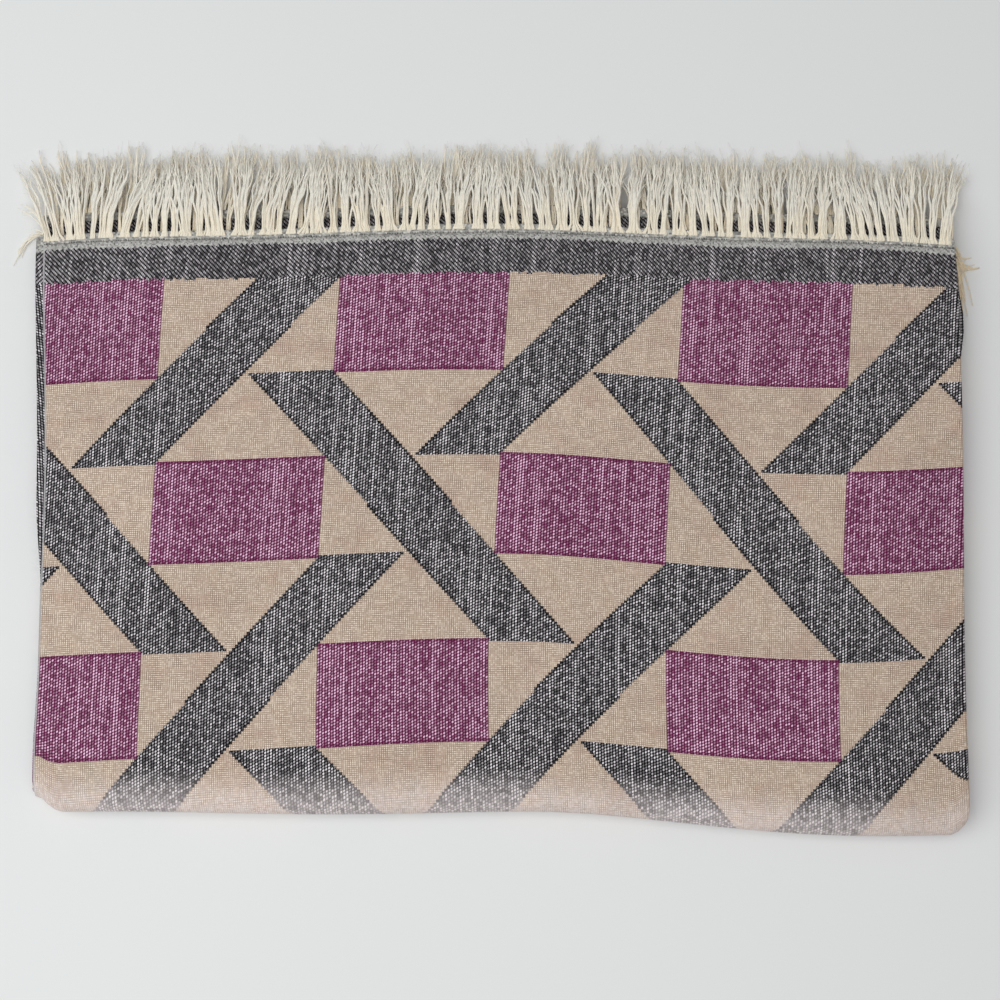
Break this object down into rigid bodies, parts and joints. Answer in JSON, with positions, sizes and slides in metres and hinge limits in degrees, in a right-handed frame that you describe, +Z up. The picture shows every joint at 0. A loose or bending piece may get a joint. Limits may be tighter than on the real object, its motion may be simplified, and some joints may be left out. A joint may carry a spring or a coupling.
{
  "type": "folded fringed throw blanket",
  "caption": "Woven throw blanket folded in half across and in quarters along, lying flat, with both fringed ends at one side and a rounded fold at the other.",
  "frame": {"origin": "middle of the footprint, on the surface that the folded throw rests on", "axes": "+X towards the fold across the width, +Y towards the fringed ends, +Z up through the layers"},
  "size_m": [0.6748, 0.5, 0.0275],
  "materials": {
    "woven_cloth": "matte jacquard weave: tan ground, charcoal trellis bars and end borders, purple blocks",
    "fringe_yarn": "loose ivory yarn, fuzzy and matte"
  },
  "bodies": {
    "root": {"throw_cloth": "woven_cloth", "fringe_first_end": "fringe_yarn", "fringe_second_end": "fringe_yarn"}
  },
  "joints": []
}
